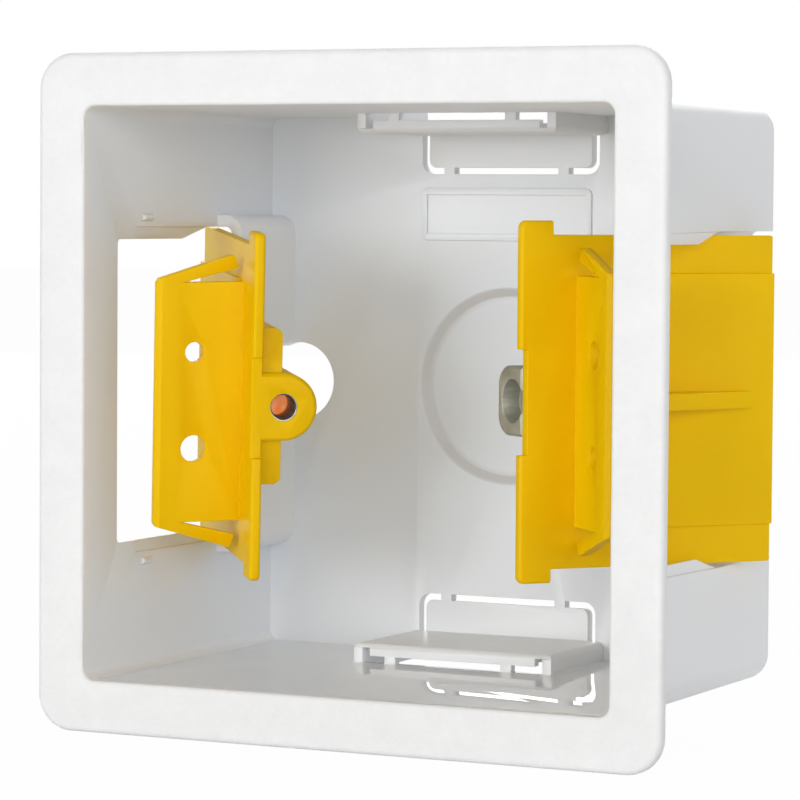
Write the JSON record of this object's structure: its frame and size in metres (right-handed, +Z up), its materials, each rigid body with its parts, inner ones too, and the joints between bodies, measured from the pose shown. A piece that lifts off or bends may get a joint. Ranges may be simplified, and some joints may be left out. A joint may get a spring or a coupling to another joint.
{
  "type": "drywall back box",
  "caption": "Square flush-mounting drywall back box with a thin flange and yellow swing-out lugs that clamp the board and take the faceplate screws.",
  "frame": {"origin": "centre of the box opening on the plane of the flange's back face, where the box seats on the board", "axes": "+X to the right seen from the room, +Y into the wall, +Z up"},
  "size_m": [0.082, 0.0486, 0.082],
  "materials": {
    "white_plastic": "fine matt",
    "yellow_plastic": "satin",
    "steel": "turned",
    "grey_metal": "dull cast"
  },
  "bodies": {
    "box": {"box_body": "white_plastic"},
    "left_lug": {"left_lug": "yellow_plastic", "left_insert": "steel"},
    "right_lug": {"right_lug": "yellow_plastic"},
    "right_nut": {"right_nut": "grey_metal"}
  },
  "joints": [
    {"name": "left_swing", "type": "hinge", "parent": "box", "child": "left_lug", "pos_m": [-0.03359, 0.0301, 0], "axis": [-0.0954, -0.0347, -0.9948], "range_deg": [0, 40.19]},
    {"name": "right_swing", "type": "hinge", "parent": "box", "child": "right_lug", "pos_m": [0.03359, 0.0301, 0], "axis": [0, 0, 1], "range_deg": [0, 38]},
    {"name": "nut_slide", "type": "slide", "parent": "right_lug", "child": "right_nut", "axis": [0, 0, 1], "range_m": [-0.0022, 0.0022]}
  ]
}
